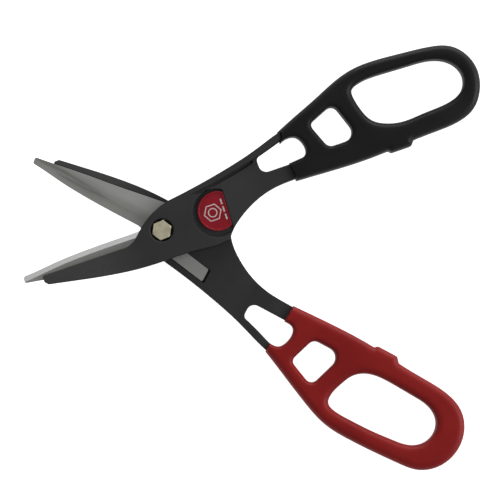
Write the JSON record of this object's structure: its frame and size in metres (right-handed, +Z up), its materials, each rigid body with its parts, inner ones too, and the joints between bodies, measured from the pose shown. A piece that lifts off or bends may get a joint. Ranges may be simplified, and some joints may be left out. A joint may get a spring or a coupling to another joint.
{
  "type": "tin snips",
  "caption": "Loop-handled tin snips: two cast halves with inlaid steel blades crossed at a hex pivot bolt, with soft grips and a stop pad on each handle.",
  "frame": {"origin": "bottom centre of the box of the whole tool as it lies on its back face, opened to the rest pose", "axes": "+X along the tool's centre line from the blade tips to the handles, +Y to the side of the front half's handle, +Z up, out of the face with the bolt head"},
  "size_m": [0.2842, 0.2685, 0.019],
  "materials": {
    "casting": "matte charcoal coating on cast aluminium",
    "blade_steel": "ground steel, lightly smudged",
    "screw_steel": "dark oiled steel",
    "zinc_plate": "pale yellow zinc plating",
    "nylon": "natural nylon",
    "badge": "glossy crimson with a pale printed pattern",
    "black_grip": "satin black soft plastic",
    "red_grip": "satin red soft plastic"
  },
  "bodies": {
    "back_half": {"back_frame": "casting", "back_blade": "blade_steel", "back_blade_screw_1": "screw_steel", "back_blade_screw_2": "screw_steel", "back_badge": "badge", "back_grip": "red_grip", "pivot_bolt": "zinc_plate", "pivot_nut": "zinc_plate", "pivot_nut_ring": "nylon", "pivot_disc_spring": "screw_steel"},
    "front_half": {"front_frame": "casting", "front_blade": "blade_steel", "front_blade_screw_1": "screw_steel", "front_blade_screw_2": "screw_steel", "front_badge": "badge", "front_grip": "black_grip"}
  },
  "joints": [
    {"name": "pivot", "type": "hinge", "parent": "back_half", "child": "front_half", "pos_m": [-0.0577, 0.0033, 0.0095], "axis": [0, 0, 1], "range_deg": [-46.7, 13]}
  ]
}
